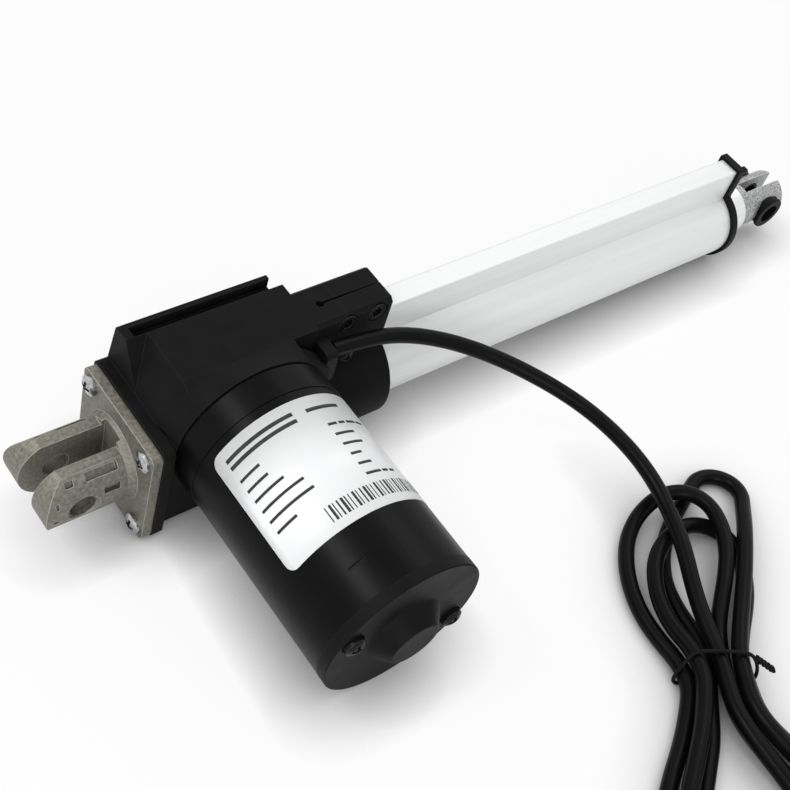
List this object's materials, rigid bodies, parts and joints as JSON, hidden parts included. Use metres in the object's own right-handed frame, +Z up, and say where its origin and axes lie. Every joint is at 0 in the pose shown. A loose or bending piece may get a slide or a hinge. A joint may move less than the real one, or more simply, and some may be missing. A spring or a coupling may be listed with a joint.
{
  "type": "bed linear actuator",
  "caption": "Electric linear actuator for an adjustable bed: side motor and worm gearbox, clamped aluminium profile, sliding rod, and a pin clevis at each end.",
  "frame": {"origin": "middle of the rear clevis pin bore, on the spindle's axis", "axes": "+X along the stroke from the rear pin to the front pin, +Z up through the wire channel, motor towards -Y, both pins along Y"},
  "size_m": [0.401, 0.32, 0.0747],
  "materials": {
    "housing_plastic": "moulded, fine satin texture",
    "clevis_casting": "raw casting, rough",
    "zinc_screw": "bright zinc plating",
    "black_screw": "black oxide",
    "bearing_steel": "ground steel",
    "motor_paint": "black satin paint",
    "profile_aluminium": "satin anodised",
    "rod_aluminium": "satin anodised",
    "silver_casting": "sparkling silver paint on a casting",
    "black_plastic": "moulded, satin",
    "black_rubber": "matt",
    "cord_jacket": "soft satin jacket",
    "gear_bronze": "cut teeth, satin",
    "shaft_steel": "turned steel",
    "nut_acetal": "natural acetal",
    "core_steel": "stacked sheets",
    "magnet_ferrite": "sintered ferrite",
    "copper": "enamelled copper",
    "carbon": "pressed carbon",
    "switch_board": "board lacquer",
    "label_film": "satin film",
    "contact_nickel": "nickel plating"
  },
  "bodies": {
    "actuator_body": {"gearbox_housing": "housing_plastic", "rear_clevis": "clevis_casting", "rear_clevis_screws": "zinc_screw", "clamp_bolts": "black_screw", "rear_bearing": "bearing_steel", "front_bearing": "bearing_steel", "preload_washer": "bearing_steel", "bearing_spacer": "black_plastic", "worm_end_bearing": "bearing_steel", "motor_gasket": "black_rubber", "motor_flange": "motor_paint", "motor_case": "motor_paint", "motor_end_cap": "motor_paint", "motor_end_screws": "black_screw", "motor_front_bearing": "bearing_steel", "motor_rear_bearing": "bearing_steel", "flux_ring": "core_steel", "motor_magnets": "magnet_ferrite", "brush_holder": "black_plastic", "carbon_brushes": "carbon", "brush_springs": "bearing_steel", "rating_label": "label_film", "outer_profile": "profile_aluminium", "profile_end_cap": "black_plastic", "rod_guide_bush": "nut_acetal", "rod_wiper_seal": "black_rubber", "limit_switch_strip": "switch_board", "limit_switches": "black_plastic", "cable_clamp": "black_plastic", "cable_clamp_screw": "black_screw", "power_cord": "cord_jacket", "cord_hank": "cord_jacket", "cable_tie": "black_plastic", "plug_body": "black_plastic", "plug_contact": "contact_nickel"},
    "rod": {"inner_tube": "rod_aluminium", "spindle_nut": "nut_acetal", "nut_pins": "shaft_steel", "front_clevis": "silver_casting", "front_bushes": "black_plastic"},
    "spindle": {"spindle": "shaft_steel", "worm_wheel": "gear_bronze", "wheel_key": "shaft_steel", "spindle_circlip": "bearing_steel"},
    "rotor": {"motor_shaft": "shaft_steel", "armature_core": "core_steel", "armature_windings": "copper", "commutator": "copper"}
  },
  "joints": [
    {"name": "rotor_spin", "type": "hinge", "parent": "actuator_body", "child": "rotor", "pos_m": [0.0619, 0, 0.0182], "axis": [0, 1, 0], "range_deg": [0, 468000]},
    {"name": "spindle_spin", "type": "hinge", "parent": "actuator_body", "child": "spindle", "pos_m": [0, 0, 0], "axis": [1, 0, 0], "range_deg": [0, 18000]},
    {"name": "rod_extend", "type": "slide", "parent": "actuator_body", "child": "rod", "axis": [1, 0, 0], "range_m": [0, 0.2]}
  ],
  "couplings": [
    {"joint": "spindle_spin", "follows": "rotor_spin", "ratio": 0.038462},
    {"joint": "rod_extend", "follows": "rotor_spin", "m_per_rad": 0.000024485}
  ]
}
